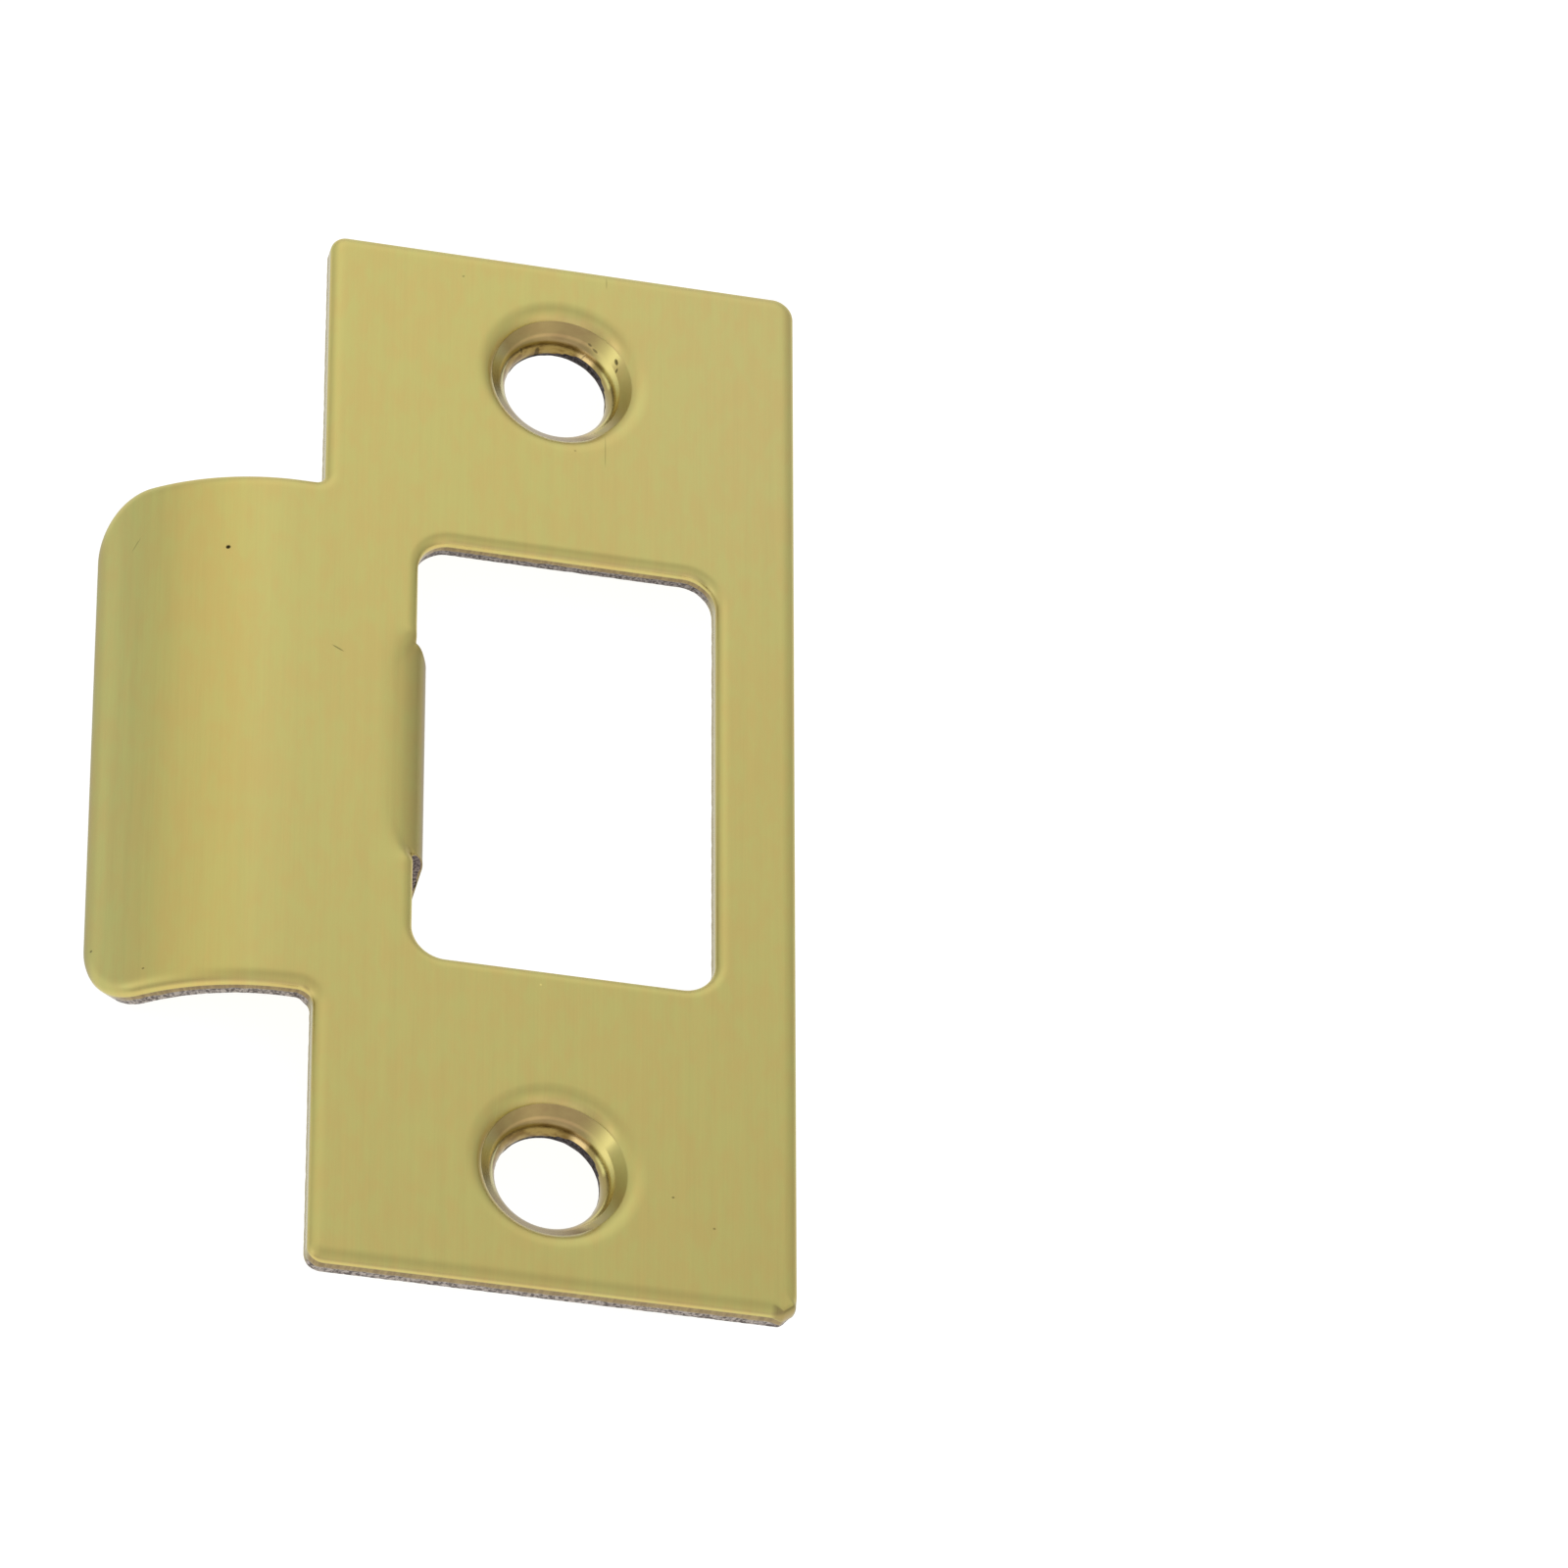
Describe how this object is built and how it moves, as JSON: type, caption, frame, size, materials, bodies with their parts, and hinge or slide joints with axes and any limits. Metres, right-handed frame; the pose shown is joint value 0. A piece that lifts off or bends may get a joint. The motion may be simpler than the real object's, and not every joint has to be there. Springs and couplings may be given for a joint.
{
  "type": "door strike plate",
  "caption": "T-shaped brass strike plate: flat mounting plate with a latch opening and turned tab, pressed countersinks for screws, and a wide lip curved down to guide the latch.",
  "frame": {"origin": "on the flat back face of the plate, midway between the two screw holes", "axes": "+Z is the outward normal of the visible front face, +Y runs along the plate's long side through both screw holes, and the lip points along -X"},
  "size_m": [0.041, 0.0698, 0.0071],
  "materials": {
    "brass_sheet": "satin, finely brushed along the long side, grey sheared edges"
  },
  "bodies": {
    "root": {"strike_plate": "brass_sheet"}
  },
  "joints": []
}
